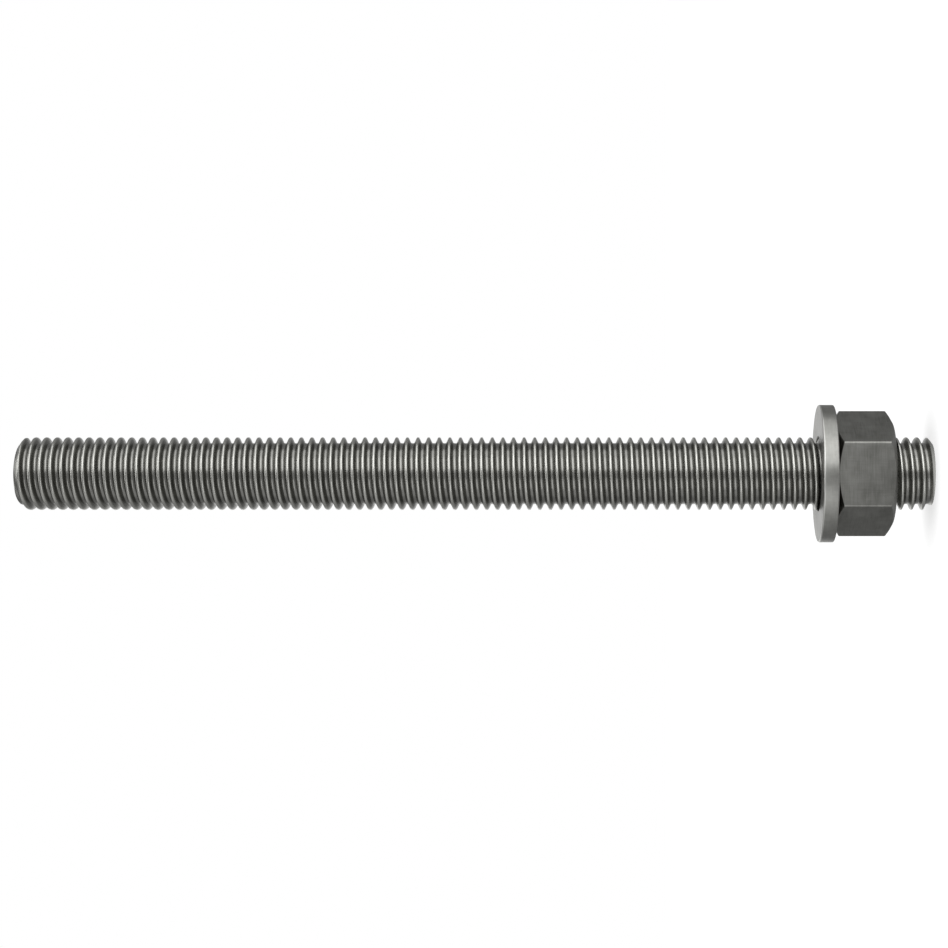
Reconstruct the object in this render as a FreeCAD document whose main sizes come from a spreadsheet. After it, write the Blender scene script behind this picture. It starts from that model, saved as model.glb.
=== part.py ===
import FreeCAD, Part
import math
import os
import Sketcher

# Chemical anchor rod: a steel bar threaded from end to end, with a flat washer
# and a hexagon nut at the end that stays outside the wall.
# Lying down it would roll on the rim of the washer, so it stands on the flat end of
# the stud, with the long embedded end up.
# The origin is on the surface under the middle of the stud end, +Z runs up along the
# rod to the embedded end, and two of the nut's flats face -Y and +Y.

DRIVING_SIZES = {
    # rod
    "rod_length": 150,
    "thread_dia": 12,
    "end_chamfer": 0.8,
    "stud_projection": 6.6,
    # flat washer
    "washer_dia": 22.7,
    "washer_thickness": 2.5,
    "washer_edge_round": 0.2,
    "washer_hole_clearance": 0.5,
    # hexagon nut
    "nut_across_flats": 18,
    "nut_height": 9.6,
    "nut_corner_round": 0.4,
    "nut_face_dia": 17,
    "nut_chamfer_angle": 30,
    "nut_countersink": 0.5,
    "nut_thread_clearance": 0.05,
}

# Each place along the rod is measured from the embedded end.
WORKED_OUT = {
    "bore_dia": "=Sizes.thread_dia + 2 * Sizes.nut_thread_clearance",
    "hole_dia": "=Sizes.thread_dia + 2 * Sizes.washer_hole_clearance",
    "nut_centre": "=Sizes.rod_length - Sizes.stud_projection - Sizes.nut_height / 2",
    "washer_seat": "=nut_centre - Sizes.nut_height / 2 - Sizes.washer_thickness",
    "cut_reach": "=0.7 * Sizes.nut_across_flats",
    "cut_fall": "=(cut_reach - Sizes.nut_face_dia / 2) * tan(Sizes.nut_chamfer_angle)",
}

document = FreeCAD.newDocument("chemical_anchor_rod")


def fill_sheet(name, cells):
    """A sheet with each name in column A and its cell, under that name, in column B."""
    sheet = document.addObject("Spreadsheet::Sheet", name)
    for row, (alias, content) in enumerate(cells.items(), start=1):
        sheet.set(f"A{row}", alias)
        sheet.set(f"B{row}", str(content))
        sheet.setAlias(f"B{row}", alias)
    document.recompute()
    return sheet


sizes = fill_sheet("Sizes", DRIVING_SIZES)
places = fill_sheet("Places", WORKED_OUT)


def new_body(name):
    """An empty body whose name is also its label."""
    body = document.addObject("PartDesign::Body", name)
    body.Label = name
    return body


def new_sketch(body, plane_role, name):
    """An empty sketch on one of the body's own origin planes."""
    plane = next(p for p in body.Origin.OriginFeatures if p.Role == plane_role)
    sketch = body.newObject("Sketcher::SketchObject", name)
    sketch.AttachmentSupport = [(plane, "")]
    sketch.MapMode = "FlatFace"
    return sketch


def bind(sketch, constraint, name, expression):
    """Adds a dimension to a sketch under a name and ties it to the sheets."""
    index = sketch.addConstraint(constraint)
    sketch.renameConstraint(index, name)
    sketch.setExpression(f"Constraints.{name}", expression)


def add_circle(sketch, diameter, name, expression):
    """A circle about the sketch's origin."""
    circle = Part.Circle(FreeCAD.Vector(), FreeCAD.Vector(0, 0, 1), diameter / 2)
    index = sketch.addGeometry(circle)
    sketch.addConstraint(Sketcher.Constraint("Coincident", index, 3, -1, 1))
    bind(sketch, Sketcher.Constraint("Diameter", index, diameter), name, expression)


def add_polygon(sketch, corners):
    """A closed outline of straight lines, joined end to end."""
    points = [FreeCAD.Vector(x, y, 0) for x, y in corners]
    lines = []
    for start, end in zip(points, points[1:] + points[:1]):
        lines.append(sketch.addGeometry(Part.LineSegment(start, end)))
    for line, following in zip(lines, lines[1:] + lines[:1]):
        sketch.addConstraint(Sketcher.Constraint("Coincident", line, 2, following, 1))
    return lines


def add_pad(body, sketch, name, expression):
    """The sketch's profile, extruded along the body's axis."""
    pad = body.newObject("PartDesign::Pad", name)
    pad.Profile = sketch
    pad.setExpression("Length", expression)
    return pad


def circular_edges(feature, diameter):
    """Names of the feature's full circles of one diameter."""
    names = []
    for number, edge in enumerate(feature.Shape.Edges, start=1):
        if isinstance(edge.Curve, Part.Circle) and edge.isClosed():
            if math.isclose(2 * edge.Curve.Radius, diameter, abs_tol=1e-6):
                names.append(f"Edge{number}")
    return names


def lengthwise_edges(feature):
    """Names of the feature's straight edges that run along the body's axis."""
    names = []
    for number, edge in enumerate(feature.Shape.Edges, start=1):
        if isinstance(edge.Curve, Part.Line) and edge.BoundBox.ZLength > edge.Length / 2:
            names.append(f"Edge{number}")
    return names


def dress_edges(body, kind, base, edges, name, size_property, expression):
    """A fillet or chamfer on some edges of a feature."""
    dressing = body.newObject(f"PartDesign::{kind}", name)
    dressing.Base = (base, edges)
    dressing.setExpression(size_property, expression)
    return dressing


def stand_up(body, along_rod):
    """Turns a body's own axis, which leaves the embedded end, to point down, and sets its place.

    The half turn is about the line between +X and +Y, so the body's own X becomes +Y.
    """
    body.Placement = FreeCAD.Placement(
        FreeCAD.Vector(), FreeCAD.Rotation(FreeCAD.Vector(1, 1, 0), 180)
    )
    body.setExpression("Placement.Base.z", f"Sizes.rod_length - {along_rod}")


def make_threaded_rod():
    """The bar over the crests of its thread, sawn square and chamfered at both ends."""
    body = new_body("threaded_rod")
    section = new_sketch(body, "XY_Plane", "rod_section")
    add_circle(section, sizes.thread_dia, "thread_dia", "Sizes.thread_dia")
    bar = add_pad(body, section, "rod_bar", "Sizes.rod_length")
    document.recompute()
    rims = circular_edges(bar, sizes.thread_dia)
    dress_edges(body, "Chamfer", bar, rims, "rod_end_chamfers", "Size", "Sizes.end_chamfer")
    stand_up(body, "0")
    return body


def make_flat_washer():
    """A stamped ring with a softly rounded rim. Its own origin is on the clamping face."""
    body = new_body("flat_washer")
    section = new_sketch(body, "XY_Plane", "washer_section")
    add_circle(section, sizes.washer_dia, "washer_dia", "Sizes.washer_dia")
    add_circle(section, places.hole_dia, "hole_dia", "Places.hole_dia")
    ring = add_pad(body, section, "washer_ring", "Sizes.washer_thickness")
    document.recompute()
    rims = circular_edges(ring, sizes.washer_dia)
    dress_edges(body, "Fillet", ring, rims, "washer_rim", "Radius", "Sizes.washer_edge_round")
    stand_up(body, "Places.washer_seat")
    return body


def draw_hexagon(sketch):
    """Six sides that touch one circle, with a flat towards each side of the sketch's X axis."""
    apothem = sizes.nut_across_flats / 2
    corner_radius = apothem / math.cos(math.pi / 6)
    turns = [math.radians(30 + 60 * corner) for corner in range(6)]
    sides = add_polygon(
        sketch, [(corner_radius * math.cos(t), corner_radius * math.sin(t)) for t in turns]
    )
    add_circle(sketch, 2 * apothem, "across_flats", "Sizes.nut_across_flats")
    inner_circle = sketch.GeometryCount - 1
    sketch.toggleConstruction(inner_circle)
    for side in sides:
        sketch.addConstraint(Sketcher.Constraint("Tangent", side, inner_circle))
    for side, following in zip(sides, sides[1:]):
        sketch.addConstraint(Sketcher.Constraint("Equal", side, following))
    right_side = sides[-1]
    sketch.addConstraint(Sketcher.Constraint("Vertical", right_side))


def draw_corner_cut(sketch):
    """A wedge above the sloping line that takes the corners off one end of the nut."""
    inner = sizes.nut_face_dia / 2
    reach = places.cut_reach
    top = sizes.nut_height / 2
    fall = places.cut_fall
    flat, side, _slope = add_polygon(sketch, [(inner, top), (reach, top), (reach, top - fall)])
    sketch.addConstraint(Sketcher.Constraint("Horizontal", flat))
    sketch.addConstraint(Sketcher.Constraint("Vertical", side))
    across = Sketcher.Constraint("DistanceX", -1, 1, flat, 1, inner)
    bind(sketch, across, "face_radius", "Sizes.nut_face_dia / 2")
    outwards = Sketcher.Constraint("DistanceX", -1, 1, flat, 2, reach)
    bind(sketch, outwards, "reach", "Places.cut_reach")
    upwards = Sketcher.Constraint("DistanceY", -1, 1, flat, 1, top)
    bind(sketch, upwards, "half_height", "Sizes.nut_height / 2")
    downwards = Sketcher.Constraint("DistanceY", side, 2, side, 1, fall)
    bind(sketch, downwards, "fall", "Places.cut_fall")


def make_hex_nut():
    """A hexagon with its corners cut at both ends and a countersunk bore.

    Its own origin is at its middle, so that one corner cut mirrors to the other end.
    The bore clears the crests of the rod's thread.
    """
    body = new_body("hex_nut")
    section = new_sketch(body, "XY_Plane", "nut_section")
    draw_hexagon(section)
    add_circle(section, places.bore_dia, "bore_dia", "Places.bore_dia")
    block = add_pad(body, section, "nut_block", "Sizes.nut_height")
    block.SideType = "Symmetric"
    document.recompute()

    corners = lengthwise_edges(block)
    rounded = dress_edges(
        body, "Fillet", block, corners, "nut_corners", "Radius", "Sizes.nut_corner_round"
    )
    document.recompute()

    mouths = circular_edges(rounded, places.bore_dia)
    dress_edges(
        body, "Chamfer", rounded, mouths, "nut_countersinks", "Size", "Sizes.nut_countersink"
    )
    document.recompute()

    wedge = new_sketch(body, "XZ_Plane", "nut_corner_wedge")
    draw_corner_cut(wedge)
    cut = body.newObject("PartDesign::Groove", "nut_corner_cut")
    cut.Profile = wedge
    cut.ReferenceAxis = (wedge, ["V_Axis"])
    cut.Angle = 360
    document.recompute()

    mirrored = body.newObject("PartDesign::Mirrored", "nut_both_ends")
    mirrored.Originals = [cut]
    middle = next(p for p in body.Origin.OriginFeatures if p.Role == "XY_Plane")
    mirrored.MirrorPlane = (middle, [""])
    body.Tip = mirrored
    stand_up(body, "Places.nut_centre")
    return body


def check_document():
    """Stops on any object that could not be worked out."""
    for item in document.Objects:
        faults = {"Invalid", "Error"} & set(item.State)
        if faults:
            raise RuntimeError(f"{item.Name} is {', '.join(sorted(faults))}")


def write_parts(bodies):
    """One file for each piece, named after it."""
    os.makedirs("parts", exist_ok=True)
    for body in bodies:
        if body.Shape.isNull() or not body.Shape.isValid() or len(body.Shape.Solids) != 1:
            raise RuntimeError(f"{body.Label} is not one sound solid")
    for body in bodies:
        body.Shape.exportStep(f"parts/{body.Label}.step")
        box = body.Shape.optimalBoundingBox(False, False)
        print(f"{body.Label}: {body.Shape.Volume:.2f} mm3, lowest point {box.ZMin:.4f} mm")


pieces = [make_threaded_rod(), make_flat_washer(), make_hex_nut()]
document.recompute()
check_document()
write_parts(pieces)
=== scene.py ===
import math

import bmesh
import bpy
from mathutils import Matrix, Vector


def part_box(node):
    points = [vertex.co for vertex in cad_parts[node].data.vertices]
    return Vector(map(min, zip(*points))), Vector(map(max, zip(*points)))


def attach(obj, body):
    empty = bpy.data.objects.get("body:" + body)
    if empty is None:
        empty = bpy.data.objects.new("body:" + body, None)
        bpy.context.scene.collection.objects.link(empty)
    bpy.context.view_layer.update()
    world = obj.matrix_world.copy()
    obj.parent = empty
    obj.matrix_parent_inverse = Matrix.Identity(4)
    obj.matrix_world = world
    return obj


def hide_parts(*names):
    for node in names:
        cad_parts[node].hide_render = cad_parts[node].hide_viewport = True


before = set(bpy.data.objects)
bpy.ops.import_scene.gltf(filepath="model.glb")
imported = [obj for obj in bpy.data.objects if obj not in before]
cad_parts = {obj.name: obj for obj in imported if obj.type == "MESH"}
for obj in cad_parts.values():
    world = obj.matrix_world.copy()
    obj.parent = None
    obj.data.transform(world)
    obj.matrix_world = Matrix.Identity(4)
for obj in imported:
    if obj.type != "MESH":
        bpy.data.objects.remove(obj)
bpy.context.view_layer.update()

# Chemical anchor rod: a steel rod threaded from end to end, with a flat washer and a
# hexagon nut near the end that stays outside the wall.
# It stands on that stud end, and its axis is the line x = 0, y = 0.
# Sizes are in millimetres. Places along the rod are measured from its embedded end, which
# is up. Turns about the rod are measured from +X towards -Y, which is right-handed about
# the way from the embedded end to the stud end.
MM = 0.001
ROD_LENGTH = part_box("threaded_rod")[1].z / MM
THREAD_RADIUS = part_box("threaded_rod")[1].x / MM
WASHER_START = ROD_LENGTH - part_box("flat_washer")[1].z / MM
WASHER_END = ROD_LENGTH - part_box("flat_washer")[0].z / MM
WASHER_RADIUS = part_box("flat_washer")[1].x / MM
NUT_START = ROD_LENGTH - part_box("hex_nut")[1].z / MM
NUT_END = ROD_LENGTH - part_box("hex_nut")[0].z / MM
NUT_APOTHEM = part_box("hex_nut")[1].y / MM


def at(along, radius, turn):
    """A point beside the rod, in metres."""
    x = radius * math.cos(turn)
    y = -radius * math.sin(turn)
    return Vector((x, y, ROD_LENGTH - along)) * MM


def new_object(name, data):
    """An object in the scene for a mesh, a lamp or a camera."""
    item = bpy.data.objects.new(name, data)
    bpy.context.scene.collection.objects.link(item)
    return item


def facing(right, back):
    """The turn of a camera or lamp, from the directions of its right side and its back."""
    up = back.cross(right)
    return Matrix((right, up, back)).transposed().to_4x4()


# Camera: square on to the rod's side from -Y, a little towards +X, rolled a quarter turn
# so that the embedded end is on the left of the picture and +X is up. It stands opposite
# the outer part of the rod, and the shift, a share of the picture's width, brings the
# whole length into the picture.
CAMERA_ALONG = 100.9
CAMERA_DISTANCE = 326
CAMERA_RISE = 2.77
AIM_RISE = -0.06
LENS = 74.97
SENSOR_WIDTH = 36
SHIFT = -0.1685
NEAREST_SEEN = 10
FARTHEST_SEEN = 20000


def make_camera():
    """The camera at its place, aimed at the rod."""
    data = bpy.data.cameras.new("camera")
    data.lens = LENS
    data.sensor_width = SENSOR_WIDTH
    data.shift_x = SHIFT
    data.clip_start = NEAREST_SEEN * MM
    data.clip_end = FARTHEST_SEEN * MM
    camera = new_object("camera", data)
    eye = Vector((CAMERA_RISE, -CAMERA_DISTANCE, ROD_LENGTH - CAMERA_ALONG)) * MM
    target = Vector((AIM_RISE, 0, ROD_LENGTH - CAMERA_ALONG)) * MM
    down_the_rod = Vector((0, 0, -1))
    turn = facing(down_the_rod, (eye - target).normalized())
    camera.matrix_world = Matrix.Translation(eye) @ turn
    bpy.context.scene.camera = camera


# Meshes

def new_mesh(name, vertices, faces):
    """A mesh of some vertices, in metres, and faces."""
    mesh = bpy.data.meshes.new(name)
    mesh.from_pydata(vertices, [], faces)
    return mesh


def add_piece(name, body, node, mesh, material, crease_degrees):
    """A smooth-shaded piece that stands for a node and rides on its body.

    Edges that turn by more than the crease angle stay sharp.
    """
    mesh.shade_smooth()
    mesh.set_sharp_from_angle(angle=math.radians(crease_degrees))
    mesh.materials.append(material)
    piece = new_object(name, mesh)
    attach(piece, body)
    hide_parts(node)


def ring_mesh(name, sections, turns):
    """A closed ring. Each section is a closed list of (along, radius) at one turn."""
    vertices = []
    for section, turn in zip(sections, turns):
        vertices += [at(along, radius, turn) for along, radius in section]
    width = len(sections[0])
    count = len(sections)
    faces = []
    for here in range(count):
        there = (here + 1) % count
        for point in range(width):
            following = (point + 1) % width
            faces.append((
                here * width + point,
                here * width + following,
                there * width + following,
                there * width + point,
            ))
    return new_mesh(name, vertices, faces)


def arc(centre, radius, start_degrees, end_degrees, steps):
    """Points on a circle about a centre, with angles counted from the first coordinate's axis."""
    points = []
    for step in range(steps + 1):
        angle = math.radians(start_degrees + (end_degrees - start_degrees) * step / steps)
        points.append((centre[0] + radius * math.cos(angle), centre[1] + radius * math.sin(angle)))
    return points


# Thread: right-handed ridges with a narrow rounded crest and a wider, flatter root.
# On the side towards +X its first crest is FIRST_CREST from the embedded end.
PITCH = 1.75
FIRST_CREST = 0.55
THREAD_DEPTH = 0.97
ROOT_RADIUS = THREAD_RADIUS - THREAD_DEPTH
FLANK_DEGREES = 25
CREST_FLAT = 0.14
CREST_ROUND = 0.15
ROOT_ROUND = 0.22
ROUND_STEPS = 2
END_CHAMFER = 0.8
CHAMFER_OVERRUN = 0.5
STEPS_IN_A_TURN = 64
CUT_TOLERANCE = 0.0001
THREAD_CREASE_DEGREES = 38


def thread_profile():
    """One pitch of the thread, from the middle of a root to the next, as (along, radius)."""
    bend = 90 - FLANK_DEGREES
    bend_tangent = math.tan(math.radians(bend) / 2)
    crest_start = PITCH / 2 - CREST_FLAT / 2
    flank_run = THREAD_DEPTH * math.tan(math.radians(FLANK_DEGREES))
    root_end = crest_start - (CREST_ROUND + ROOT_ROUND) * bend_tangent - flank_run
    root_centre = (root_end, ROOT_RADIUS + ROOT_ROUND)
    crest_centre = (crest_start, THREAD_RADIUS - CREST_ROUND)
    rise = [(0, ROOT_RADIUS)]
    rise += arc(root_centre, ROOT_ROUND, -90, bend - 90, ROUND_STEPS)
    rise += arc(crest_centre, CREST_ROUND, 90 + bend, 90, ROUND_STEPS)
    fall = [(PITCH - along, radius) for along, radius in reversed(rise[1:])]
    return rise + fall


def thread_strip():
    """A strip that winds along the rod and runs on past both ends.

    The last point of each profile joins the first one of the profile a whole turn on.
    Past the rod's ends the chamfers' cones run on a little before the strip stays level.
    """
    profile = thread_profile()
    width = len(profile)
    first = -STEPS_IN_A_TURN
    last = math.ceil((ROD_LENGTH / PITCH + 1) * STEPS_IN_A_TURN)
    vertices = []
    for step in range(first, last + STEPS_IN_A_TURN + 1):
        turn = 2 * math.pi * step / STEPS_IN_A_TURN
        start = FIRST_CREST - PITCH / 2 + PITCH * step / STEPS_IN_A_TURN
        for along, radius in profile:
            place = start + along
            into_rod = min(place, ROD_LENGTH - place)
            cone = THREAD_RADIUS - END_CHAMFER + max(into_rod, -CHAMFER_OVERRUN)
            vertices.append(at(place, min(radius, cone), turn))
    faces = []
    for step in range(last - first):
        for point in range(width):
            here = step * width + point
            at_root = point + 1 == width
            following = (step + STEPS_IN_A_TURN) * width if at_root else here + 1
            faces.append((here, here + width, following + width, following))
    return new_mesh("thread_strip", vertices, faces)


def close_end(work, height, outwards):
    """Cuts the strip square at a height above the floor and fills the opening."""
    cut = bmesh.ops.bisect_plane(
        work, geom=work.verts[:] + work.edges[:] + work.faces[:], dist=CUT_TOLERANCE * MM,
        plane_co=(0, 0, height * MM), plane_no=(0, 0, outwards), clear_outer=True,
    )
    edges = [item for item in cut["geom_cut"] if isinstance(item, bmesh.types.BMEdge)]
    rim = [edge for edge in edges if edge.is_boundary]
    bmesh.ops.edgenet_fill(work, edges=rim)


def make_thread(material):
    """The winding strip, cut square and closed at both ends."""
    mesh = thread_strip()
    work = bmesh.new()
    work.from_mesh(mesh)
    loose = [vertex for vertex in work.verts if not vertex.link_faces]
    bmesh.ops.delete(work, geom=loose, context="VERTS")
    close_end(work, ROD_LENGTH, 1)
    close_end(work, 0, -1)
    bmesh.ops.recalc_face_normals(work, faces=work.faces)
    work.to_mesh(mesh)
    work.free()
    add_piece(
        "thread", "rod", "threaded_rod", mesh, material, THREAD_CREASE_DEGREES
    )


# Washer: stamped, with a softly rounded rim and a hole clear of the thread.
WASHER_ROUND = 0.2
RIM_STEPS = 5
HOLE_RADIUS = 6.2
HOLE_ROUND = 0.1
HOLE_STEPS = 3
WASHER_STEPS = 192
WASHER_CREASE_DEGREES = 35


def make_washer(material):
    """A ring of one section, which starts at its rim on the face towards the embedded end."""
    rim = WASHER_RADIUS - WASHER_ROUND
    mouth = HOLE_RADIUS + HOLE_ROUND
    section = arc((WASHER_START + WASHER_ROUND, rim), WASHER_ROUND, 180, 90, RIM_STEPS)
    section += arc((WASHER_END - WASHER_ROUND, rim), WASHER_ROUND, 90, 0, RIM_STEPS)
    section += arc((WASHER_END - HOLE_ROUND, mouth), HOLE_ROUND, 0, -90, HOLE_STEPS)
    section += arc((WASHER_START + HOLE_ROUND, mouth), HOLE_ROUND, -90, -180, HOLE_STEPS)
    turns = [2 * math.pi * step / WASHER_STEPS for step in range(WASHER_STEPS)]
    mesh = ring_mesh("washer", [section] * WASHER_STEPS, turns)
    add_piece(
        "washer", "washer", "flat_washer", mesh, material, WASHER_CREASE_DEGREES
    )


# Nut: a hexagon with rounded corners. A cone at each end takes the corners off in arcs, and
# starts a little further out on the seat, the end face towards the washer.
NUT_SIDES = 6
NUT_CORNER_ROUND = 0.4
CORNER_STEPS = 6
FLAT_STEPS = 16
NUT_FACE_RADIUS = 8.5
NUT_SEAT_RADIUS = 8.7
NUT_CONE_SLOPE = math.tan(math.radians(30))
NUT_BORE_RADIUS = 6.05
NUT_COUNTERSINK = 0.5
NUT_EDGE_ROUND = 0.12
NUT_CREASE_DEGREES = 25

# Softened edges, first where an end face meets the cone and then where the cone meets the
# side wall. Each point says how much deeper and further out than the sharp edge it lies,
# in shares of the edge's round.
FACE_EDGE = ((0, -1), (0.08, -0.15), (0.05 + 0.6 * NUT_CONE_SLOPE, 0.6))
WALL_EDGE = ((-NUT_CONE_SLOPE, -1), (-0.1, -0.25), (0.3, -0.03), (1, 0))


def hexagon_wall():
    """The nut's side wall as (turn, radius), with points close together on its corners."""
    half_side = math.pi / NUT_SIDES
    bend = 180 / NUT_SIDES
    round_centre = (NUT_APOTHEM - NUT_CORNER_ROUND) / math.cos(half_side)
    corner_round = arc((round_centre, 0), NUT_CORNER_ROUND, -bend, bend, CORNER_STEPS)
    round_end = corner_round[-1]
    flat_start = math.atan2(round_end[1], round_end[0])
    wall = []
    for corner in range(NUT_SIDES):
        corner_turn = 2 * half_side * corner
        for x, y in corner_round:
            wall.append((corner_turn + math.atan2(y, x), math.hypot(x, y)))
        for step in range(1, FLAT_STEPS):
            past_corner = flat_start + 2 * (half_side - flat_start) * step / FLAT_STEPS
            radius = NUT_APOTHEM / math.cos(half_side - past_corner)
            wall.append((corner_turn + past_corner, radius))
    return wall


def nut_end(wall_radius, face_radius):
    """One end of the nut's section, from bore to side wall, as (depth below the end, radius)."""
    cone_fall = (wall_radius - face_radius) * NUT_CONE_SLOPE
    section = [
        (NUT_COUNTERSINK, NUT_BORE_RADIUS),
        (0, NUT_BORE_RADIUS + NUT_COUNTERSINK),
    ]
    for deeper, outwards in FACE_EDGE:
        section.append((NUT_EDGE_ROUND * deeper, face_radius + NUT_EDGE_ROUND * outwards))
    for deeper, outwards in WALL_EDGE:
        depth = cone_fall + NUT_EDGE_ROUND * deeper
        section.append((depth, wall_radius + NUT_EDGE_ROUND * outwards))
    return section


def nut_section(wall_radius):
    """The nut's whole section at a turn where its side wall stands at one radius."""
    seat = nut_end(wall_radius, NUT_SEAT_RADIUS)
    face = nut_end(wall_radius, NUT_FACE_RADIUS)
    near = [(NUT_START + depth, radius) for depth, radius in seat]
    far = [(NUT_END - depth, radius) for depth, radius in reversed(face)]
    return near + far


def make_nut(material):
    """A ring whose section changes as its side wall goes round the hexagon."""
    turns, wall_radii = zip(*hexagon_wall())
    mesh = ring_mesh("nut", [nut_section(radius) for radius in wall_radii], turns)
    add_piece("nut", "nut", "hex_nut", mesh, material, NUT_CREASE_DEGREES)


# Materials

def linear(hex_colour):
    """A screen colour such as #808080 as the linear red, green, blue and alpha of a shader."""
    channels = [int(hex_colour[k:k + 2], 16) / 255 for k in (1, 3, 5)]
    values = [c / 12.92 if c <= 0.04045 else ((c + 0.055) / 1.055) ** 2.4 for c in channels]
    return (*values, 1)


def add_node(tree, kind, settings=None, **inputs):
    """A node with its settings, and its inputs set to a value or joined to another output.

    An input goes by its name, with _ for each space, or by _ and its number.
    """
    node = tree.nodes.new(kind)
    for name, value in (settings or {}).items():
        setattr(node, name, value)
    for name, value in inputs.items():
        number = name[1:]
        key = int(number) if number.isdigit() else name.replace("_", " ")
        socket = node.inputs[key]
        if isinstance(value, bpy.types.NodeSocket):
            tree.links.new(value, socket)
        else:
            socket.default_value = value
    return node


def new_material(name):
    """A material with its node tree and its shader."""
    material = bpy.data.materials.new(name)
    material.use_nodes = True
    tree = material.node_tree
    return material, tree, tree.nodes["Principled BSDF"]


def axis_distance(tree):
    """Distance from the rod's axis, in metres."""
    place = add_node(tree, "ShaderNodeTexCoord").outputs["Object"]
    across = add_node(tree, "ShaderNodeMapping", Vector=place, Scale=(1, 1, 0)).outputs[0]
    length = add_node(tree, "ShaderNodeVectorMath", {"operation": "LENGTH"}, _0=across)
    return length.outputs["Value"]


def height_at_rest(tree):
    """Height above the floor, in metres, of a point of a piece when the nut is at rest."""
    place = add_node(tree, "ShaderNodeTexCoord").outputs["Object"]
    return add_node(tree, "ShaderNodeSeparateXYZ", Vector=place).outputs["Z"]


# Bare steel with a satin finish: soft cloudy greys, fine streaks round the rod and fainter
# ones along it, and an uneven gloss and light relief from a fine grain.
# The streaks are drawn coarser than the real ones, which would be too fine to show.
GRAIN_WIDTH = 0.25
STREAK_SQUEEZE = 0.08
LONG_STREAK_SHARE = 0.5
CLOUD_SHARE = 1.5
DARKEST_TONE = 1.1
LIGHTEST_TONE = 1.9
SMOOTHEST_GRAIN = 0.3
ROUGHEST_GRAIN = 0.7
NOISE_DETAIL = 2
NOISE_ROUGHNESS = 0.6


def noise(tree, place, squeeze, width):
    """Noise with features so many millimetres wide, and longer along an axis that is squeezed."""
    squeezed = add_node(tree, "ShaderNodeMapping", Vector=place, Scale=squeeze).outputs[0]
    pattern = add_node(
        tree, "ShaderNodeTexNoise", Vector=squeezed, Scale=1 / (width * MM),
        Detail=NOISE_DETAIL, Roughness=NOISE_ROUGHNESS,
    )
    return pattern.outputs["Fac"]


def steel(name, light, dark, smooth, rough, cloud_width, streak_width, relief_depth):
    """Steel between two greys and two roughnesses, with its widths and depth in millimetres."""
    material, tree, shader = new_material(name)
    place = add_node(tree, "ShaderNodeTexCoord").outputs["Object"]
    clouds = noise(tree, place, (1, 1, 1), cloud_width)
    grain = noise(tree, place, (1, 1, 1), GRAIN_WIDTH)
    round_streaks = noise(tree, place, (STREAK_SQUEEZE, STREAK_SQUEEZE, 1), streak_width)
    long_streaks = noise(tree, place, (1, 1, STREAK_SQUEEZE), streak_width)
    streaks = add_node(
        tree, "ShaderNodeMath", {"operation": "MULTIPLY_ADD"},
        _0=long_streaks, _1=LONG_STREAK_SHARE, _2=round_streaks,
    ).outputs[0]
    tones = add_node(
        tree, "ShaderNodeMath", {"operation": "MULTIPLY_ADD"},
        _0=clouds, _1=CLOUD_SHARE, _2=streaks,
    ).outputs[0]
    light_share = add_node(
        tree, "ShaderNodeMapRange",
        Value=tones, From_Min=DARKEST_TONE, From_Max=LIGHTEST_TONE, To_Min=0, To_Max=1,
    ).outputs[0]
    greys = add_node(
        tree, "ShaderNodeMix", {"data_type": "RGBA"},
        _0=light_share, _6=linear(dark), _7=linear(light),
    ).outputs[2]
    gloss = add_node(
        tree, "ShaderNodeMapRange",
        Value=grain, From_Min=SMOOTHEST_GRAIN, From_Max=ROUGHEST_GRAIN, To_Min=smooth, To_Max=rough,
    ).outputs[0]
    relief = add_node(
        tree, "ShaderNodeMath", {"operation": "ADD"}, _0=streaks, _1=grain
    ).outputs[0]
    bump = add_node(
        tree, "ShaderNodeBump", Strength=1, Distance=relief_depth * MM, Height=relief
    ).outputs[0]
    tree.links.new(greys, shader.inputs["Base Color"])
    tree.links.new(gloss, shader.inputs["Roughness"])
    tree.links.new(bump, shader.inputs["Normal"])
    shader.inputs["Metallic"].default_value = 1
    return material


def paint_highlight(material, colour, *bands):
    """Mixes a painted highlight, a brighter colour, into a steel where some bands meet.

    A band is a distance in metres with the two lengths, in millimetres, at which the
    painted highlight starts and is full.
    """
    tree = material.node_tree
    share = 1
    for distance, start, full in bands:
        in_band = add_node(
            tree, "ShaderNodeMapRange",
            Value=distance, From_Min=start * MM, From_Max=full * MM, To_Min=0, To_Max=1,
        ).outputs[0]
        share = add_node(
            tree, "ShaderNodeMath", {"operation": "MULTIPLY"}, _0=share, _1=in_band
        ).outputs[0]
    base_colour = tree.nodes["Principled BSDF"].inputs["Base Color"]
    mix = add_node(
        tree, "ShaderNodeMix", {"data_type": "RGBA"},
        _0=share, _6=base_colour.links[0].from_socket, _7=linear(colour),
    )
    tree.links.new(mix.outputs[2], base_colour)


# Rolled thread: painted highlights make its crests bright and its roots fairly bright,
# between darker flanks, so that the eye sees a fine bright line on each ridge. The chamfers
# at its ends carry the same painted highlight as the crests.
ROOT_FADE = 0.2
CREST_FADE_START = 0.35
CREST_FADE_END = 0.05
CHAMFER_FADE = 0.3
END_FACE_FADE = 0.1


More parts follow.
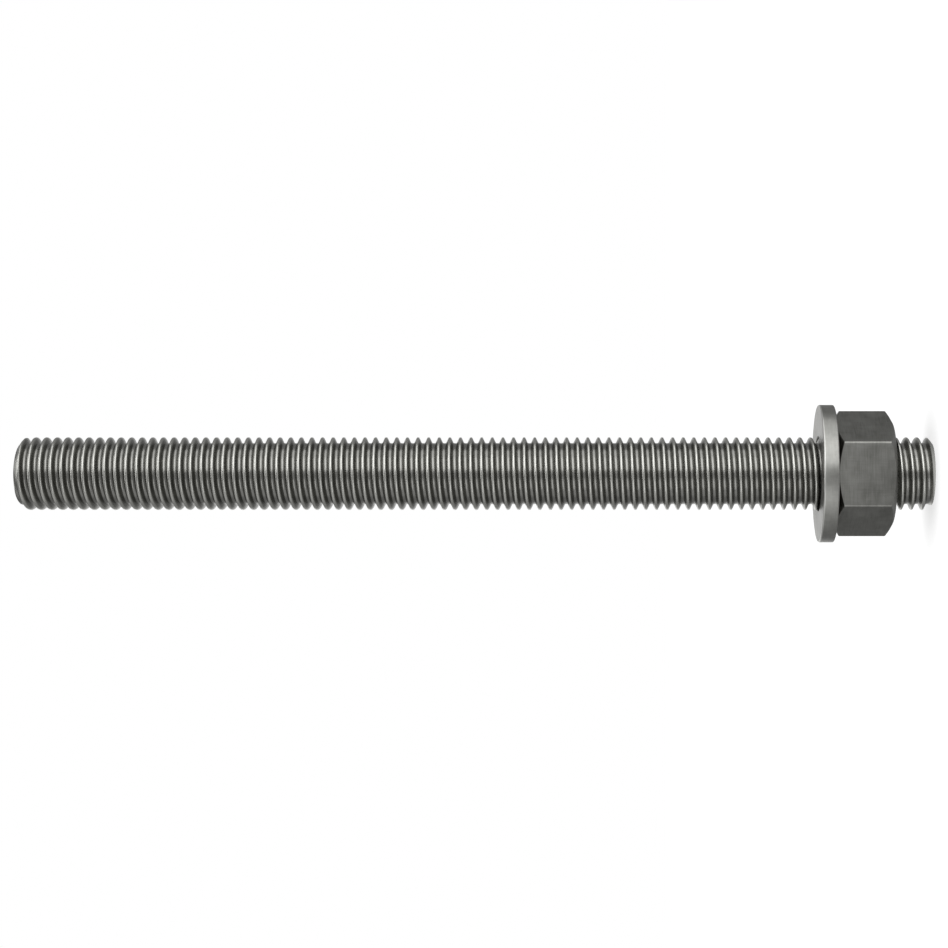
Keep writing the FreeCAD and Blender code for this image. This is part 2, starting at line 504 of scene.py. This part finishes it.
def rolled_thread_steel():
    """Satin steel of the thread, with painted highlights on its crests, roots and end chamfers."""
    material = steel(
        "rolled_thread_steel", light="#8e8e89", dark="#80807c", smooth=0.25, rough=0.30,
        cloud_width=2, streak_width=0.3, relief_depth=0.0001,
    )
    tree = material.node_tree
    radius = axis_distance(tree)
    end_distance = add_node(
        tree, "ShaderNodeMath", {"operation": "PINGPONG"},
        _0=height_at_rest(tree), _1=ROD_LENGTH * MM / 2,
    ).outputs[0]
    end_face_radius = THREAD_RADIUS - END_CHAMFER
    on_root = (radius, ROOT_RADIUS + ROOT_FADE, ROOT_RADIUS)
    on_crest = (radius, THREAD_RADIUS - CREST_FADE_START, THREAD_RADIUS - CREST_FADE_END)
    near_end = (end_distance, END_CHAMFER, END_CHAMFER - CHAMFER_FADE)
    outside_end_face = (radius, end_face_radius - END_FACE_FADE, end_face_radius)
    # Painted highlights: a brighter colour on the roots, the crests and the end chamfers.
    paint_highlight(material, "#9e9e9a", on_root)
    paint_highlight(material, "#cecec9", on_crest)
    paint_highlight(material, "#cecec9", near_end, outside_end_face)
    return material


# Stamped washer: a paler and duller steel than the thread's. A painted highlight runs
# along its rim at the edge towards the embedded end and shows as a thin light line.
RIM_FADE_START = 0.22
RIM_FADE_END = 0.12
FACE_FADE_START = 0.3
FACE_FADE_END = 0.16


def stamped_washer_steel():
    """Duller steel of the washer, with a painted highlight along its upper edge."""
    material = steel(
        "stamped_washer_steel", light="#a8a8a4", dark="#969692", smooth=0.30, rough=0.42,
        cloud_width=2, streak_width=0.15, relief_depth=0.0008,
    )
    tree = material.node_tree
    top = ROD_LENGTH - WASHER_START
    on_rim = (axis_distance(tree), WASHER_RADIUS - RIM_FADE_START, WASHER_RADIUS - RIM_FADE_END)
    near_top = (height_at_rest(tree), top - FACE_FADE_START, top - FACE_FADE_END)
    # Painted highlight: a brighter colour along the washer's rim at its upper edge.
    paint_highlight(material, "#e4e4e0", on_rim, near_top)
    return material


# Cold-formed nut: steel pressed to shape between smooth dies, so that the eye sees broad
# soft clouds of lighter and darker grey on its satin faces.
def cold_formed_nut_steel():
    """Smooth steel of the nut, with a wider range of greys than the other two."""
    return steel(
        "cold_formed_nut_steel", light="#989894", dark="#7c7c78", smooth=0.28, rough=0.36,
        cloud_width=3.5, streak_width=0.22, relief_depth=0.0003,
    )


# Floor: matt white board. It is white to the camera, and close to the rod less of that
# white is added, so that the shadow where the anchor stands stays visible.
FLOOR_HALF = 3000
SHADOW_RADIUS = 14
WHITE_STRENGTH = 1.5
WHITE_SHARE_IN_SHADOW = 0.45
WHITE_SHARE_OUTSIDE = 0.6


def white_studio_board():
    """Board with hardly any gloss, so that the eye sees a plain white ground."""
    material, tree, shader = new_material("white_studio_board")
    shader.inputs["Base Color"].default_value = linear("#fafafa")
    shader.inputs["Roughness"].default_value = 0.9
    shader.inputs["Specular IOR Level"].default_value = 0.1
    white_added = add_node(
        tree, "ShaderNodeMapRange", Value=axis_distance(tree),
        From_Min=THREAD_RADIUS * MM, From_Max=SHADOW_RADIUS * MM,
        To_Min=WHITE_SHARE_IN_SHADOW, To_Max=WHITE_SHARE_OUTSIDE,
    ).outputs[0]
    camera_sees = add_node(tree, "ShaderNodeLightPath").outputs["Is Camera Ray"]
    white_share = add_node(
        tree, "ShaderNodeMath", {"operation": "MULTIPLY"}, _0=camera_sees, _1=white_added
    ).outputs[0]
    white = add_node(
        tree, "ShaderNodeEmission", Color=linear("#ffffff"), Strength=WHITE_STRENGTH
    ).outputs[0]
    mix = add_node(
        tree, "ShaderNodeMixShader", _0=white_share, _1=shader.outputs[0], _2=white
    ).outputs[0]
    tree.links.new(mix, tree.nodes["Material Output"].inputs["Surface"])
    return material


def make_floor(material):
    """One large square. Reflections leave it out and show the pale floor of the surroundings."""
    half = FLOOR_HALF * MM
    corners = [(-half, -half, 0), (half, -half, 0), (half, half, 0), (-half, half, 0)]
    mesh = new_mesh("floor", corners, [(0, 1, 2, 3)])
    mesh.materials.append(material)
    floor = new_object("floor", mesh)
    floor.visible_glossy = False


# Studio lamps. Each row gives a panel's turn from the camera's side towards +X and its
# elevation in degrees, its distance, width and height in millimetres, and its radiance.
SOFTBOXES = {
    "main_softbox": (38, -4, 450, 420, 460, 1.56),
    "end_softbox": (36, 72, 800, 600, 700, 1.3),
    "upper_card": (82, -4, 450, 320, 500, 0.88),
    "front_card": (-5, -10, 360, 220, 120, 0.32),
    "low_softbox": (-40, -9, 360, 250, 240, 0.86),
    "low_card": (-79, 10, 700, 420, 1200, 0.22),
}


def make_softbox(name, turn_degrees, elevation_degrees, distance, width, height, radiance):
    """A panel of light that faces the middle of the rod and isn't seen itself."""
    data = bpy.data.lights.new(name, "AREA")
    data.shape = "RECTANGLE"
    data.size = width * MM
    data.size_y = height * MM
    data.energy = radiance * math.pi * data.size * data.size_y
    light = new_object(name, data)
    light.visible_camera = False
    turn = math.radians(turn_degrees)
    elevation = math.radians(elevation_degrees)
    level = math.cos(elevation)
    outwards = Vector((math.sin(turn) * level, -math.cos(turn) * level, math.sin(elevation)))
    side = Vector((math.cos(turn), math.sin(turn), 0))
    middle = Vector((0, 0, ROD_LENGTH / 2))
    centre = (middle + outwards * distance) * MM
    light.matrix_world = Matrix.Translation(centre) @ facing(side, outwards)


# Surroundings: dim, apart from the pale floor below and a white backdrop behind the
# anchor, which its metal shows too, and plain white where the camera sees them.
# The backdrop's two limits are cosines of the angle from its middle, and the floor's two
# are heights of a direction whose length is 1.
BACKDROP_DIRECTION = (-0.17, 0.97, 0.17)
BACKDROP_EDGE = 0.85
BACKDROP_FULL = 0.98
FLOOR_FULL = -0.95
FLOOR_EDGE = -0.6
FLOOR_LEVEL = 0.6
ROOM_LEVEL = 0.26
WHITE_LEVEL = 1


def make_surroundings():
    """The light that comes from all round the anchor."""
    world = bpy.data.worlds.new("studio")
    world.use_nodes = True
    bpy.context.scene.world = world
    tree = world.node_tree
    direction = add_node(tree, "ShaderNodeTexCoord").outputs["Generated"]
    towards_backdrop = add_node(
        tree, "ShaderNodeVectorMath", {"operation": "DOT_PRODUCT"},
        _0=direction, _1=BACKDROP_DIRECTION,
    ).outputs["Value"]
    backdrop = add_node(
        tree, "ShaderNodeMapRange",
        Value=towards_backdrop, From_Min=BACKDROP_EDGE, From_Max=BACKDROP_FULL, To_Min=0, To_Max=1,
    ).outputs[0]
    ray = add_node(tree, "ShaderNodeLightPath").outputs
    shown_by_metal = add_node(
        tree, "ShaderNodeMath", {"operation": "MAXIMUM"},
        _0=ray["Is Glossy Ray"], _1=ray["Is Transmission Ray"],
    ).outputs[0]
    backdrop_in_metal = add_node(
        tree, "ShaderNodeMath", {"operation": "MULTIPLY"}, _0=shown_by_metal, _1=backdrop
    ).outputs[0]
    white_share = add_node(
        tree, "ShaderNodeMath", {"operation": "MAXIMUM"},
        _0=ray["Is Camera Ray"], _1=backdrop_in_metal,
    ).outputs[0]
    height = add_node(tree, "ShaderNodeSeparateXYZ", Vector=direction).outputs["Z"]
    dim_level = add_node(
        tree, "ShaderNodeMapRange", Value=height, From_Min=FLOOR_FULL, From_Max=FLOOR_EDGE,
        To_Min=FLOOR_LEVEL, To_Max=ROOM_LEVEL,
    ).outputs[0]
    level = add_node(
        tree, "ShaderNodeMix", {"data_type": "FLOAT"},
        _0=white_share, _2=dim_level, _3=WHITE_LEVEL,
    ).outputs[0]
    background = tree.nodes["Background"]
    background.inputs["Color"].default_value = linear("#ffffff")
    tree.links.new(level, background.inputs["Strength"])


make_camera()
make_thread(rolled_thread_steel())
make_washer(stamped_washer_steel())
make_nut(cold_formed_nut_steel())
make_floor(white_studio_board())
for name, panel in SOFTBOXES.items():
    make_softbox(name, *panel)
make_surroundings()

bpy.context.scene.view_settings.view_transform = "Standard"
